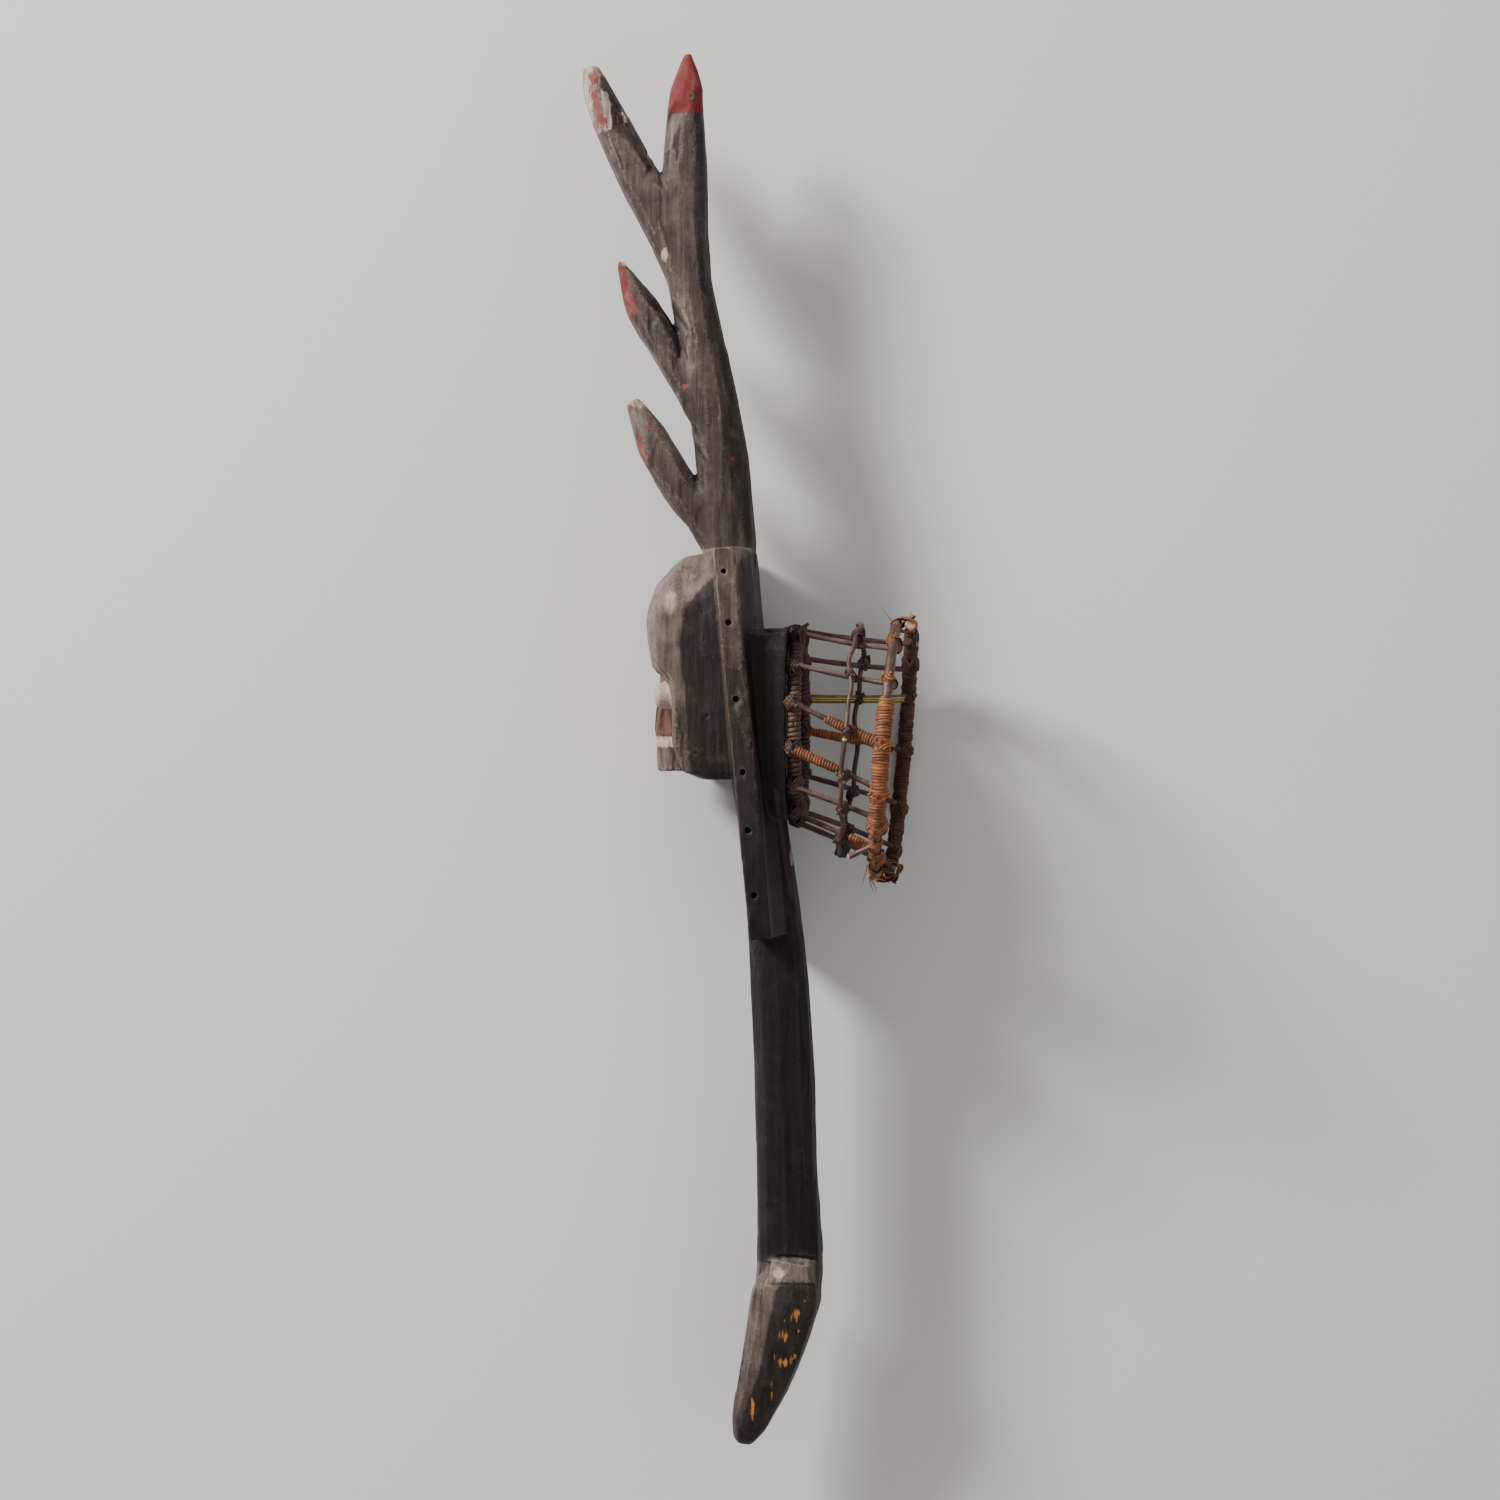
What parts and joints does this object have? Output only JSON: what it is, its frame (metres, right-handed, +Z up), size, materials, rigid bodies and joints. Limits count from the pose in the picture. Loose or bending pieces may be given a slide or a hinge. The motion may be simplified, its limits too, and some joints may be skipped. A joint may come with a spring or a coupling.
{
  "type": "water spirit headdress",
  "caption": "Carved wooden headdress with a spirit's head on a board, a branching top, a long shaft and a lashed cane cap frame, lying on its side.",
  "frame": {"origin": "middle of the bounding box's base, on the surface that the headdress lies on", "axes": "+Y along the carving towards its branching top, +X towards the mouth of the cap frame, +Z up"},
  "size_m": [0.3006, 1.2244, 0.2021],
  "materials": {
    "wood": "satin",
    "rattan": "satin",
    "raffia": "matt",
    "cane": "satin"
  },
  "bodies": {
    "root": {"carved_body": "wood", "small_ring": "rattan", "middle_ring": "rattan", "near_hoop": "raffia", "far_hoop": "raffia", "cane_strip": "cane", "rib_top_near": "rattan", "rib_high_near": "rattan", "rib_mid_near": "rattan", "rib_low_near": "rattan", "rib_under_near": "rattan", "rib_bottom_near": "rattan", "rib_bottom": "rattan", "rib_top_far": "rattan", "rib_high_far": "rattan", "rib_mid_far": "rattan", "rib_low_far": "rattan", "rib_bottom_far": "rattan"}
  },
  "joints": []
}
